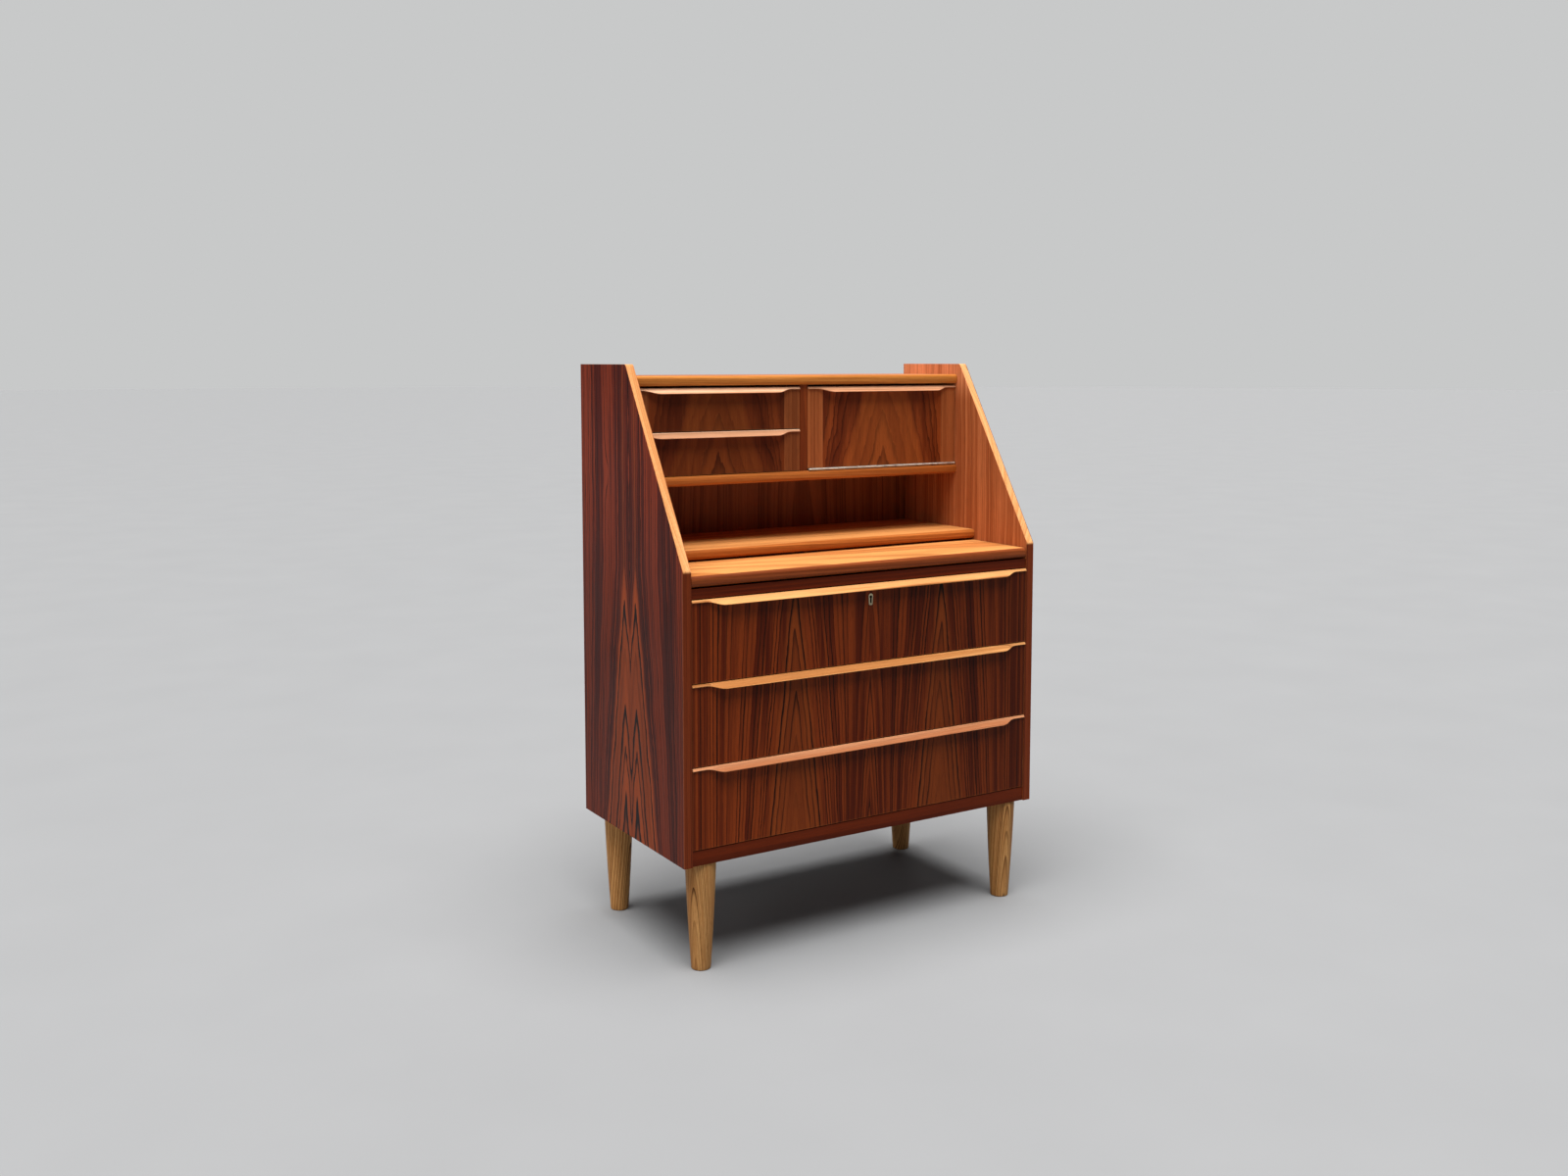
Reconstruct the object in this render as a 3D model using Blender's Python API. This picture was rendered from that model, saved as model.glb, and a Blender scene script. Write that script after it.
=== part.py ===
"""Secretary desk: teak carcass on turned oak legs, with a pull-out writing board, three wide
drawers, two small drawers and a drop flap.

Frame: metres, +Z up, +X to the right as seen from the front, the front faces -Y. The origin is on
the floor under the middle of the desk's bounding box. Depths are given as distances behind the
front edges of the sides, and depth_y turns one into a world Y.
"""

import math

import bmesh
import bpy
from mathutils import Matrix, Vector

# ---- driving dimensions ----
WIDTH = 0.800  # over the two sides
SIDE_DEPTH = 0.422  # front edge to back edge of a side
HEIGHT = 1.091
CASE_BOTTOM = 0.201  # underside of the sides, so also the height that the legs show
SLANT_START = 0.731  # where the front edge of a side starts to lean back
TOP_DEPTH = 0.199  # depth of a side at its top
SIDE_THICK = 0.017
CORNER_RADII = (0.008, 0.012)  # of a side's outline, where the slant ends and where it starts
GAP = 0.0003  # between pieces that touch

BOARD_THICK = 0.019  # top board and upper shelf
DESK_SHELF_THICK = 0.0185
NOSE_RADIUS = 0.007  # rounding of a board's front edge
TOP_BOARD_TOP = 1.069
UPPER_SHELF_TOP = 0.8775
DESK_SHELF_TOP = 0.7435
UPPER_FRONT = 0.230  # noses of the top board and the upper shelf, behind the sides' front
DESK_SHELF_FRONT = 0.166
BACK_FACE = 0.412  # inner face of the back panel
BACK_THICK = 0.005
RAIL_FRONT = 0.002

WRITING_TOP = 0.7215
WRITING_THICK = 0.0195
WRITING_FRONT = 0.001
WRITING_BACK = 0.406
WRITING_RUNNER_REACH = 0.014  # how far a runner of the board stands out of the carcass side
WRITING_RUNNER_LIFT = 0.006  # its lower edge, above the lower edge of the front rail
WRITING_RUNNER_BACK = 0.405

RAIL_TOP = 0.6995
RAIL_BOTTOM = 0.682
RAIL_DEPTH = 0.038
BOTTOM_RAIL_TOP = 0.229
BOTTOM_RAIL_DEPTH = 0.018
BOTTOM_THICK = 0.018
BOTTOM_LIFT = 0.001  # underside of the bottom and the back panel, above that of the sides

DRAWER_TOP = 0.680  # top of the uppermost wide drawer's front
DRAWER_HEIGHT = 0.1485
DRAWER_PITCH = 0.1503
DRAWER_FACE = 0.001
FRONT_THICK = 0.018
SIDE_CLEAR = 0.0013  # beside a drawer front or the flap

SMALL_FACE = 0.237  # face of the small drawers and the flap
SMALL_THICK = 0.016
SMALL_TOPS = (1.046, 0.9615)
SMALL_HEIGHT = 0.0825
DIVIDER_THICK = 0.017
DUST_PANEL_Z = (0.960, 0.965)
DUST_PANEL_CLEAR = 0.001  # behind the fronts of the small drawers

DRAWER_LENGTH = 0.366  # face to back of a wide drawer
DRAWER_WALL = 0.012
DRAWER_BOX_Z = (0.012, 0.128)  # lower and upper edge of its sides, above its front's lower edge
GROOVE_Z = 0.070  # middle of the runner's groove
RUNNER_HALF = 0.006  # half the height of a runner
RUNNER_REACH = 0.0065  # how far a runner stands out of the carcass side
RUNNER_FRONT = 0.0232
RUNNER_BACK = 0.400
DRAWER_BACK = (0.018, 0.006)  # faces of a drawer's back, ahead of the ends of its sides
DRAWER_BACK_DROP = 0.006  # its upper edge, below that of the sides
FLOOR_SHORT = 0.003  # how far a drawer's floor ends ahead of its sides
SMALL_LENGTH = 0.160
SMALL_WALL = 0.009
SMALL_BOX_HEIGHT = 0.068
PLY_THICK = 0.004  # floor of a drawer
PLY_LIFT = 0.010  # its underside, above the lower edge of the drawer's sides
PLY_TONGUE = 0.0045  # how far it goes into its grooves
TAIL_REACH = 0.0115  # length of the dovetails
TAIL_SHARE = 0.62  # width of a tail's tip as a share of the spacing
TAIL_TAPER = 0.0045  # tip width less root width
CUT_PAST = 0.001  # how far a cutter runs past the face it starts at

LIP_STRIP = 0.0045  # thickness of the solid strip that carries the finger lip
LIP_REACH = (0.003, 0.014)  # how far it stands out, at its ends and over its length
LIP_DROP = (LIP_STRIP, 0.011)  # how far its edge hangs down, at its ends and over its length
LIP_THIN = {"wide": 0.028, "small": 0.022}  # length of each thin end
LIP_CURVE = 0.034  # length of the S-curve between an end and the full section
LIP_EDGES = (0.0007, 0.0010)  # thickness of its edge, at its ends and over its length

LEG_TOP_RADIUS = 0.0285
LEG_FOOT_RADIUS = 0.018
LEG_BELLY = 0.0008  # how far a leg swells halfway up
FOOT_EASE = (0.002, 0.003)  # easing of its foot, across and up
SHOULDER_EASE = (0.001, 0.003)
LEG_X = 0.350
LEG_DEPTHS = {"front": 0.0325, "back": 0.3755}
TENON_RADIUS = 0.013
TENON_LENGTH = 0.013

HINGE_DEPTH = 0.2345  # flap hinge axis, behind the sides' front
HINGE_Z = 0.8800
KNUCKLE_RADIUS = 0.0022
KNUCKLE_BORE = 0.0012
HINGE_PIN_RADIUS = 0.0009
KNUCKLES = 12
LEAF_THICK = 0.0008
LEAF_WIDTH = 0.0135

LOCK_Z = 0.650  # middle of the keyhole
BOLT_TOP = 0.6795
BOLT_HALF = (0.0068, 0.0025)  # half its width and depth
BOLT_CLEAR = 0.0005
BOLT_RISE = 0.012  # its lower end, above the middle of the keyhole
CASE_HALF_WIDTH = 0.022
CASE_DEPTH = 0.0095
CASE_DROP = 0.018  # its lower end, below the middle of the keyhole
PLATE_DEPTH = (-0.0005, 0.006)  # front and back of the keyhole plate, from the drawer's face
MORTISE_HALF = 0.0085
MORTISE_DEPTH = (0.0205, 0.0290)
MORTISE_HEIGHT = 0.010

INNER = WIDTH / 2 - SIDE_THICK  # inner face of a side
MIDDLE = (SIDE_DEPTH - LIP_REACH[1] + DRAWER_FACE) / 2  # depth of the origin


def depth_y(depth):
    """World Y of a point that lies this far behind the front edges of the sides."""
    return depth - MIDDLE


# ---- helpers ----
def clear_scene():
    for obj in list(bpy.data.objects):
        bpy.data.objects.remove(obj)


def material(name, colour, roughness, metallic=0.0):
    mat = bpy.data.materials.new(name)
    mat.use_nodes = True
    shader = mat.node_tree.nodes["Principled BSDF"]
    shader.inputs["Base Color"].default_value = (*colour, 1.0)
    shader.inputs["Roughness"].default_value = roughness
    shader.inputs["Metallic"].default_value = metallic
    return mat


def empty(name, location):
    """A body's frame, on its joint's axis."""
    obj = bpy.data.objects.new(name, None)
    obj.location = location
    bpy.context.scene.collection.objects.link(obj)
    return obj


def node(name, bm, mat, parent=None, location=(0, 0, 0)):
    bmesh.ops.recalc_face_normals(bm, faces=bm.faces)
    mesh = bpy.data.meshes.new(name)
    bm.to_mesh(mesh)
    bm.free()
    if mat:
        mesh.materials.append(mat)
    obj = bpy.data.objects.new(name, mesh)
    obj.parent = parent
    obj.location = location
    bpy.context.scene.collection.objects.link(obj)
    return obj


def add_box(bm, low, high):
    low, high = Vector(low), Vector(high)
    matrix = Matrix.Translation((low + high) / 2) @ Matrix.Diagonal((*(high - low), 1.0))
    bmesh.ops.create_cube(bm, size=1.0, matrix=matrix)


def box(low, high):
    bm = bmesh.new()
    add_box(bm, low, high)
    return bm


def add_prism(bm, outline, low, high, axis):
    """An outline of (a, b) pairs, pushed from low to high along axis. The pairs are the other two
    axes in X, Y, Z order."""
    place = {
        "x": lambda a, b: (low, a, b),
        "y": lambda a, b: (a, low, b),
        "z": lambda a, b: (a, b, low),
    }[axis]
    push = {"x": (high - low, 0, 0), "y": (0, high - low, 0), "z": (0, 0, high - low)}[axis]
    face = bm.faces.new([bm.verts.new(place(a, b)) for a, b in outline])
    made = bmesh.ops.extrude_face_region(bm, geom=[face])["geom"]
    bmesh.ops.translate(bm, vec=push, verts=[v for v in made if isinstance(v, bmesh.types.BMVert)])


def prism(outline, low, high, axis):
    bm = bmesh.new()
    add_prism(bm, outline, low, high, axis)
    return bm


def rounded(corners, steps=5):
    """A closed outline from (a, b, radius) corners, with an arc at each one that has a radius."""
    outline = []
    for i, (a, b, radius) in enumerate(corners):
        here = Vector((a, b))
        if radius == 0:
            outline.append((a, b))
            continue
        before = (Vector(corners[i - 1][:2]) - here).normalized()
        after = (Vector(corners[(i + 1) % len(corners)][:2]) - here).normalized()
        half = before.angle(after) / 2
        centre = here + (before + after).normalized() * (radius / math.sin(half))
        start = here + before * (radius / math.tan(half)) - centre
        end = here + after * (radius / math.tan(half)) - centre
        turn = start.angle_signed(end)
        for k in range(steps + 1):
            angle = -turn * k / steps
            c, s = math.cos(angle), math.sin(angle)
            outline.append((centre.x + start.x * c - start.y * s, centre.y + start.x * s + start.y * c))
    return outline


def circle(radius, sides, a=0.0, b=0.0):
    steps = [2 * math.pi * k / sides for k in range(sides)]
    return [(a + radius * math.cos(t), b + radius * math.sin(t)) for t in steps]


def add_turned(bm, stations, looped=False):
    """A body turned about the X axis from (x, radius) stations; looped ones close into a tube."""
    rings = [[bm.verts.new((x, y, z)) for y, z in circle(radius, 12)] for x, radius in stations]
    pairs = list(zip(rings, rings[1:]))
    if looped:
        pairs.append((rings[-1], rings[0]))
    else:
        bm.faces.new(rings[0])
        bm.faces.new(rings[-1])
    for a, b in pairs:
        for i in range(len(a)):
            j = (i + 1) % len(a)
            bm.faces.new((a[i], a[j], b[j], b[i]))


def boolean(obj, bm, operation="DIFFERENCE"):
    """Cuts bm out of obj, or joins it on, with a hidden helper in the same frame."""
    helper = node(f"{obj.name}_{operation.lower()}", bm, None, obj.parent, obj.location)
    helper.hide_render = True
    helper.display_type = "WIRE"
    modifier = obj.modifiers.new(operation.lower(), "BOOLEAN")
    modifier.operation = operation
    modifier.object = helper


# ---- carcass ----
def nosed_board(name, half_width, front, back, low, high, mat):
    """A board between the sides with a rounded front edge."""
    outline = rounded(
        [
            (depth_y(front), low, NOSE_RADIUS),
            (depth_y(back), low, 0),
            (depth_y(back), high, 0),
            (depth_y(front), high, NOSE_RADIUS),
        ]
    )
    return node(name, prism(outline, -half_width, half_width, "x"), mat)


def build_sides(mat):
    outline = rounded(
        [
            (depth_y(0), CASE_BOTTOM, 0),
            (depth_y(SIDE_DEPTH), CASE_BOTTOM, 0),
            (depth_y(SIDE_DEPTH), HEIGHT, 0),
            (depth_y(SIDE_DEPTH - TOP_DEPTH), HEIGHT, CORNER_RADII[0]),
            (depth_y(0), SLANT_START, CORNER_RADII[1]),
        ]
    )
    half = SIDE_THICK / 2
    for name, x in (("side_left", -WIDTH / 2 + half), ("side_right", WIDTH / 2 - half)):
        node(name, prism(outline, -half, half, "x"), mat, location=(x, 0, 0))


def build_boards(veneer, ply):
    half = INNER - GAP
    top_low = TOP_BOARD_TOP - BOARD_THICK
    shelf_back = BACK_FACE - GAP
    nosed_board("top_board", half, UPPER_FRONT, SIDE_DEPTH, top_low, TOP_BOARD_TOP, veneer)
    shelf_low = UPPER_SHELF_TOP - BOARD_THICK
    nosed_board("upper_shelf", half, UPPER_FRONT, shelf_back, shelf_low, UPPER_SHELF_TOP, veneer)
    desk_low = DESK_SHELF_TOP - DESK_SHELF_THICK
    nosed_board("desk_shelf", half, DESK_SHELF_FRONT, shelf_back, desk_low, DESK_SHELF_TOP, veneer)
    divider = box(
        (-DIVIDER_THICK / 2, depth_y(SMALL_FACE), UPPER_SHELF_TOP + GAP),
        (DIVIDER_THICK / 2, depth_y(shelf_back), top_low - GAP),
    )
    node("upper_divider", divider, veneer)
    dust_panel = box(
        (-INNER + GAP, depth_y(SMALL_FACE + SMALL_THICK + DUST_PANEL_CLEAR), DUST_PANEL_Z[0]),
        (-DIVIDER_THICK / 2 - GAP, depth_y(shelf_back), DUST_PANEL_Z[1]),
    )
    node("dust_panel", dust_panel, ply)
    back = box(
        (-half, depth_y(BACK_FACE), CASE_BOTTOM + BOTTOM_LIFT),
        (half, depth_y(BACK_FACE + BACK_THICK), top_low - GAP),
    )
    node("back_panel", back, ply)


def build_front_rail(mat):
    """The rail over the wide drawers. The lock's bolt goes up into its mortise."""
    half = INNER - GAP
    rail = box(
        (-half, depth_y(RAIL_FRONT), RAIL_BOTTOM),
        (half, depth_y(RAIL_FRONT + RAIL_DEPTH), RAIL_TOP),
    )
    obj = node("front_rail", rail, mat)
    mortise = box(
        (-MORTISE_HALF, depth_y(MORTISE_DEPTH[0]), RAIL_BOTTOM - CUT_PAST),
        (MORTISE_HALF, depth_y(MORTISE_DEPTH[1]), RAIL_BOTTOM + MORTISE_HEIGHT),
    )
    boolean(obj, mortise)


def build_bottom(mat):
    """The bottom panel with its front rail glued on, and blind holes for the legs' tenons."""
    low = CASE_BOTTOM + BOTTOM_LIFT
    panel_top = low + BOTTOM_THICK
    front = depth_y(RAIL_FRONT)
    step = depth_y(RAIL_FRONT + BOTTOM_RAIL_DEPTH)
    back = depth_y(BACK_FACE - GAP)
    outline = [
        (front, low),
        (back, low),
        (back, panel_top),
        (step, panel_top),
        (step, BOTTOM_RAIL_TOP),
        (front, BOTTOM_RAIL_TOP),
    ]
    half = INNER - GAP
    obj = node("bottom_panel", prism(outline, -half, half, "x"), mat)
    holes = bmesh.new()
    for x in (-LEG_X, LEG_X):
        for depth in LEG_DEPTHS.values():
            hole = circle(TENON_RADIUS + GAP, 20, x, depth_y(depth))
            add_prism(holes, hole, low - CUT_PAST, low + TENON_LENGTH + GAP, "z")
    boolean(obj, holes)


def build_legs(mat):
    """Turned tapered legs, each with a tenon that goes up into the bottom panel."""
    height = CASE_BOTTOM + BOTTOM_LIFT - GAP
    profile = [
        (0.0, 0.0),
        (LEG_FOOT_RADIUS - FOOT_EASE[0], 0.0),
        (LEG_FOOT_RADIUS, FOOT_EASE[1]),
        ((LEG_FOOT_RADIUS + LEG_TOP_RADIUS) / 2 + LEG_BELLY, height / 2),
        (LEG_TOP_RADIUS, height - SHOULDER_EASE[1]),
        (LEG_TOP_RADIUS - SHOULDER_EASE[0], height),
        (TENON_RADIUS, height),
        (TENON_RADIUS, height + TENON_LENGTH),
        (0.0, height + TENON_LENGTH),
    ]
    for where, depth in LEG_DEPTHS.items():
        for side, x in (("left", -LEG_X), ("right", LEG_X)):
            bm = bmesh.new()
            verts = [bm.verts.new((radius, 0, z)) for radius, z in profile]
            edges = [bm.edges.new(pair) for pair in zip(verts, verts[1:])]
            bmesh.ops.spin(
                bm,
                geom=verts + edges,
                axis=(0, 0, 1),
                cent=(0, 0, 0),
                angle=2 * math.pi,
                steps=20,
                use_merge=True,
            )
            bmesh.ops.remove_doubles(bm, verts=bm.verts, dist=0.00001)
            obj = node(f"leg_{where}_{side}", bm, mat, location=(x, depth_y(depth), 0))
            obj.data.shade_smooth()
            obj.data.set_sharp_from_angle(angle=math.radians(35))


# ---- finger lips ----
def lip_section(share, back):
    """The strip's section as (y, z) from the face plane and the strip's top edge. share goes from 0
    at the thin ends to 1 over the full length."""
    reach = LIP_REACH[0] + share * (LIP_REACH[1] - LIP_REACH[0])
    drop = LIP_DROP[0] + share * (LIP_DROP[1] - LIP_DROP[0])
    edge = LIP_EDGES[0] + share * (LIP_EDGES[1] - LIP_EDGES[0])
    hollow = [(-reach * u, -(drop - edge) * (1 - (1 - u) ** 1.2)) for u in (0, 0.2, 0.4, 0.6, 0.8, 1)]
    hang = drop - LIP_STRIP
    under = [(-reach * u, -LIP_STRIP - hang * f) for u, f in ((0.93, 1.0), (0.6, 0.68), (0.3, 0.32))]
    return hollow + under + [(0, -LIP_STRIP), (back, -LIP_STRIP), (back, 0)]


def lip(width, thin_length, back):
    """A finger lip that runs along X: thin at its ends, with an S-curve to its full section."""
    half = width / 2
    stations = [(-half, 0.0)]
    for k in range(7):
        share = k / 6
        stations.append((-half + thin_length + LIP_CURVE * share, share * share * (3 - 2 * share)))
    stations += [(-x, share) for x, share in reversed(stations)]
    bm = bmesh.new()
    rings = [
        [bm.verts.new((x, y, z)) for y, z in lip_section(share, back)] for x, share in stations
    ]
    for a, b in zip(rings, rings[1:]):
        for i in range(len(a)):
            j = (i + 1) % len(a)
            bm.faces.new((a[i], a[j], b[j], b[i]))
    bm.faces.new(rings[0])
    bm.faces.new(rings[-1])
    return bm


# ---- drawers ----
def tail_outline(middle, root, tip, y_root, y_tip):
    return [
        (y_root, middle - root / 2),
        (y_tip, middle - tip / 2),
        (y_tip, middle + tip / 2),
        (y_root, middle + root / 2),
    ]


def build_drawer(name, frame, size, box_z, wall, length, tails, mats, groove_z=None):
    """A drawer in its own frame: X from its middle, Y from its face, Z from its front's lower edge.
    size is the front's (width, height, thickness), box_z the lower and upper edge of its sides. Only
    a wide drawer has the runner's groove, whose middle is at groove_z."""
    width, height, thick = size
    half = width / 2
    root_y = thick + GAP
    tip_y = thick - TAIL_REACH
    ply_z = box_z[0] + PLY_LIFT
    spacing = (box_z[1] - box_z[0]) / tails
    tail_tip = spacing * TAIL_SHARE
    tail_root = tail_tip - TAIL_TAPER
    middles = [box_z[0] + spacing * (k + 0.5) for k in range(tails)]

    front = node(
        f"{name}_front",
        box((-half, 0, 0), (half, thick, height - LIP_STRIP - GAP)),
        mats["veneer"],
        frame,
    )
    sockets = bmesh.new()
    for sign in (-1, 1):
        ends = sorted((sign * (half - wall - GAP), sign * (half + CUT_PAST)))
        for middle in middles:
            slope = (tail_tip - tail_root) / (root_y - tip_y) * (CUT_PAST + GAP)
            root_width, tip_width = tail_root + 2 * GAP - slope, tail_tip + 2 * GAP
            outline = tail_outline(middle, root_width, tip_width, root_y + CUT_PAST, tip_y - GAP)
            add_prism(sockets, outline, *ends, "x")
    boolean(front, sockets)
    between = half - wall - GAP
    bottom_half = between + PLY_TONGUE
    floor_front = thick - PLY_TONGUE
    groove = box(
        (-bottom_half - GAP, floor_front - GAP, ply_z - GAP),
        (bottom_half + GAP, thick + CUT_PAST, ply_z + PLY_THICK + GAP),
    )
    boolean(front, groove)

    node(
        f"{name}_lip",
        lip(width, LIP_THIN["small" if groove_z is None else "wide"], thick),
        mats["solid"],
        frame,
        (0, 0, height),
    )

    for side, sign in (("left", -1), ("right", 1)):
        outline = [(length, box_z[1]), (length, box_z[0]), (root_y, box_z[0])]
        for middle in middles:
            outline += tail_outline(middle, tail_root, tail_tip, root_y, tip_y)
        outline.append((root_y, box_z[1]))
        ends = sorted((sign * (half - wall), sign * half))
        obj = node(f"{name}_side_{side}", prism(outline, *ends, "x"), mats["pale"], frame)
        grooves = bmesh.new()
        inside = half - wall
        inner = sorted((sign * (inside - CUT_PAST), sign * (inside + PLY_TONGUE)))
        add_box(
            grooves,
            (inner[0], tip_y - CUT_PAST, ply_z - GAP),
            (inner[1], length + CUT_PAST, ply_z + PLY_THICK + GAP),
        )
        if groove_z is not None:
            depth = RUNNER_REACH - SIDE_CLEAR + 2 * GAP
            outer = sorted((sign * (half - depth), sign * (half + CUT_PAST)))
            start = RUNNER_FRONT - DRAWER_FACE - 2 * GAP
            add_box(
                grooves,
                (outer[0], start, groove_z - RUNNER_HALF - GAP),
                (outer[1], length + CUT_PAST, groove_z + RUNNER_HALF + GAP),
            )
        boolean(obj, grooves)

    node(
        f"{name}_back",
        box(
            (-between, length - DRAWER_BACK[0], ply_z + PLY_THICK + GAP),
            (between, length - DRAWER_BACK[1], box_z[1] - DRAWER_BACK_DROP),
        ),
        mats["pale"],
        frame,
    )
    node(
        f"{name}_floor",
        box(
            (-bottom_half, floor_front, ply_z),
            (bottom_half, length - FLOOR_SHORT, ply_z + PLY_THICK),
        ),
        mats["ply"],
        frame,
    )
    return front


def build_wide_drawers(mats):
    """Three wide drawers that hang on hardwood runners, which ride in grooves in their sides."""
    width = 2 * (INNER - SIDE_CLEAR)
    fronts = {}
    for k, where in enumerate(("top", "middle", "bottom")):
        low = DRAWER_TOP - DRAWER_HEIGHT - k * DRAWER_PITCH
        frame = empty(f"drawer_{where}_frame", (0, depth_y(DRAWER_FACE), low))
        size = (width, DRAWER_HEIGHT, FRONT_THICK)
        fronts[where] = build_drawer(
            f"drawer_{where}",
            frame,
            size,
            DRAWER_BOX_Z,
            DRAWER_WALL,
            DRAWER_LENGTH,
            3,
            mats,
            GROOVE_Z,
        )
        for side, sign in (("left", -1), ("right", 1)):
            ends = sorted((sign * (INNER - GAP), sign * (INNER - RUNNER_REACH)))
            middle = low + GROOVE_Z
            runner = box(
                (ends[0], depth_y(RUNNER_FRONT), middle - RUNNER_HALF),
                (ends[1], depth_y(RUNNER_BACK), middle + RUNNER_HALF),
            )
            node(f"drawer_{where}_runner_{side}", runner, mats["pale"])
    return fronts["top"]


def build_small_drawers(mats):
    """The lower one slides on the upper shelf, the upper one on the dust panel."""
    width = INNER - DIVIDER_THICK / 2 - 2 * SIDE_CLEAR
    middle = -(INNER + DIVIDER_THICK / 2) / 2
    floors = (DUST_PANEL_Z[1], UPPER_SHELF_TOP)
    for where, top, floor in zip(("upper", "lower"), SMALL_TOPS, floors):
        low = top - SMALL_HEIGHT
        frame = empty(f"small_drawer_{where}_frame", (middle, depth_y(SMALL_FACE), low))
        box_low = floor + GAP - low
        size = (width, SMALL_HEIGHT, SMALL_THICK)
        box_z = (box_low, box_low + SMALL_BOX_HEIGHT)
        build_drawer(
            f"small_drawer_{where}", frame, size, box_z, SMALL_WALL, SMALL_LENGTH, 2, mats
        )


# ---- writing board ----
def build_writing_board(veneer, pale):
    half = INNER - SIDE_CLEAR
    frame_depth = depth_y(WRITING_FRONT)
    outline = rounded(
        [
            (0, -WRITING_THICK, NOSE_RADIUS),
            (WRITING_BACK - WRITING_FRONT, -WRITING_THICK, 0),
            (WRITING_BACK - WRITING_FRONT, 0, 0),
            (0, 0, NOSE_RADIUS),
        ]
    )
    frame = empty("writing_board_frame", (0, frame_depth, WRITING_TOP))
    node("writing_board", prism(outline, -half, half, "x"), veneer, frame)
    for side, sign in (("left", -1), ("right", 1)):
        ends = sorted((sign * (INNER - GAP), sign * (INNER - WRITING_RUNNER_REACH)))
        top = WRITING_TOP - WRITING_THICK - GAP
        low = RAIL_BOTTOM + WRITING_RUNNER_LIFT
        runner = box(
            (ends[0], depth_y(RAIL_FRONT + RAIL_DEPTH + GAP), low),
            (ends[1], depth_y(WRITING_RUNNER_BACK), top),
        )
        node(f"writing_runner_{side}", runner, pale)


# ---- flap and its piano hinge ----
def leaf_comb(parity, span, pitch):
    """A hinge leaf's outline in X and Y from the hinge axis: a plate with a tab at every other
    knuckle."""
    clear = KNUCKLE_RADIUS + 0.0004
    outline = [(span[1], LEAF_WIDTH), (span[0], LEAF_WIDTH)]
    for k in range(KNUCKLES):
        low, high = knuckle_ends(k, span, pitch)
        if k % 2 != parity:
            outline += [(low, clear), (high, clear)]
            continue
        outline += [(low, clear), (low, 0.0), (high, 0.0), (high, clear)]
    return outline


def knuckle_ends(k, span, pitch):
    return span[0] + k * pitch + 0.0002, span[0] + (k + 1) * pitch - 0.0002


def build_leaf(name, parity, z, span, pitch, mat, frame):
    """A leaf's plate, to which its knuckles are joined. z is its lower face from the hinge axis."""
    outline = leaf_comb(parity, span, pitch)
    return node(name, prism(outline, z, z + LEAF_THICK, "z"), mat, frame)


def build_hinge(half, mat, frame):
    """A piano hinge: the shelf's leaf carries the pin, the flap's leaf has bored knuckles."""
    span = (-half + 0.0005, half - 0.0005)
    pitch = (span[1] - span[0]) / KNUCKLES
    low_z = -KNUCKLE_RADIUS + 0.0001
    fixed = build_leaf("flap_hinge_leaf_fixed", 0, low_z, span, pitch, mat, frame)
    stations = []
    for k in range(0, KNUCKLES, 2):
        low, high = knuckle_ends(k, span, pitch)
        if k:
            stations.append((low, HINGE_PIN_RADIUS))
        stations += [(low, KNUCKLE_RADIUS), (high, KNUCKLE_RADIUS), (high, HINGE_PIN_RADIUS)]
    stations.append((span[1], HINGE_PIN_RADIUS))
    pin = bmesh.new()
    add_turned(pin, stations)
    boolean(fixed, pin, "UNION")

    high_z = KNUCKLE_RADIUS - LEAF_THICK - 0.0001
    moving = build_leaf("flap_hinge_leaf_moving", 1, high_z, span, pitch, mat, frame)
    tubes = bmesh.new()
    for k in range(1, KNUCKLES, 2):
        low, high = knuckle_ends(k, span, pitch)
        outside = [(low, KNUCKLE_RADIUS), (high, KNUCKLE_RADIUS)]
        add_turned(tubes, outside + [(high, KNUCKLE_BORE), (low, KNUCKLE_BORE)], looped=True)
    boolean(moving, tubes, "UNION")


def build_flap(mats):
    """The flap drops forward on a piano hinge that stands along its lower edge."""
    low_x = DIVIDER_THICK / 2 + SIDE_CLEAR
    high_x = INNER - SIDE_CLEAR
    middle = (low_x + high_x) / 2
    half = (high_x - low_x) / 2
    frame = empty("flap_frame", (middle, depth_y(HINGE_DEPTH), HINGE_Z))
    face = SMALL_FACE - HINGE_DEPTH
    low = KNUCKLE_RADIUS + GAP
    top = SMALL_TOPS[0] - HINGE_Z
    panel = box((-half, face, low), (half, face + SMALL_THICK, top - LIP_STRIP - GAP))
    node("flap_panel", panel, mats["veneer"], frame)
    flap_lip = lip(2 * half, LIP_THIN["small"], SMALL_THICK)
    node("flap_lip", flap_lip, mats["solid"], frame, (0, face, top))
    build_hinge(half, mats["steel"], frame)


# ---- lock ----
def keyhole():
    """Keyhole outline in X and Z about its middle: a round eye over a narrow slot."""
    eye, slot, eye_z, slot_z = 0.0031, 0.0019, 0.0046, -0.0072
    start = math.asin(slot / eye)
    points = [(-slot, slot_z), (slot, slot_z)]
    for k in range(9):
        angle = -math.pi / 2 + start + (2 * math.pi - 2 * start) * k / 8
        points.append((eye * math.cos(angle), eye_z + eye * math.sin(angle)))
    return points


def escutcheon_outline(grow=0.0):
    """The keyhole plate's outline: wide and round at the eye, narrower at the foot."""
    width_low, width_high, half_height = 0.0040 + grow, 0.0052 + grow, 0.0110 + grow
    return rounded(
        [
            (-width_low, -half_height, 0.0030),
            (width_low, -half_height, 0.0030),
            (width_high, half_height, 0.0047),
            (-width_high, half_height, 0.0047),
        ],
        steps=4,
    )


def lifted(outline, z):
    return [(x, height + z) for x, height in outline]


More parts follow.
